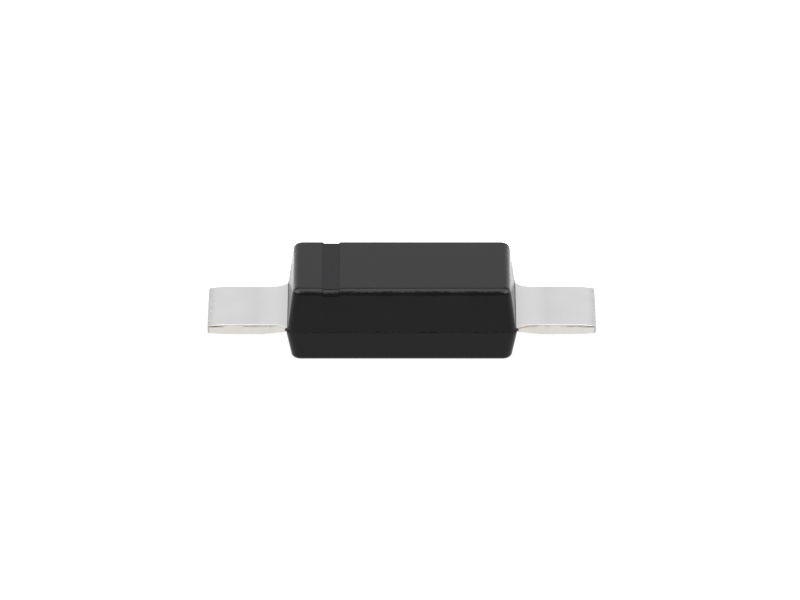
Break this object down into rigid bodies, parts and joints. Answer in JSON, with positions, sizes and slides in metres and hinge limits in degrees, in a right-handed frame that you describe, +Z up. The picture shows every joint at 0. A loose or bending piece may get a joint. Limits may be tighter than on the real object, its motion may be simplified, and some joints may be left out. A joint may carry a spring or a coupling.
{
  "type": "surface-mount schottky diode",
  "caption": "Surface-mount rectifier diode with a drafted black moulded body, a recessed cathode band and straight flat tinned leads out of both ends.",
  "frame": {"origin": "middle of the moulded body's underside", "axes": "+X along the leads towards the anode, so the cathode band is at -X; +Z up from the underside to the marked top face"},
  "size_m": [0.0046, 0.0016, 0.0009],
  "materials": {
    "moulding_compound": "matte black epoxy moulding compound, spark-eroded mould texture",
    "tinned_copper": "matte tin plating on stamped copper strip",
    "silicon": "sawn silicon with a metallised face",
    "solder": "dull soft solder",
    "bare_copper": "bare copper strip"
  },
  "bodies": {
    "root": {"moulded_body": "moulding_compound", "cathode_lead": "tinned_copper", "anode_lead": "tinned_copper", "diode_chip": "silicon", "chip_solder": "solder", "contact_clip": "bare_copper", "clip_solder": "solder", "foot_solder": "solder"}
  },
  "joints": []
}
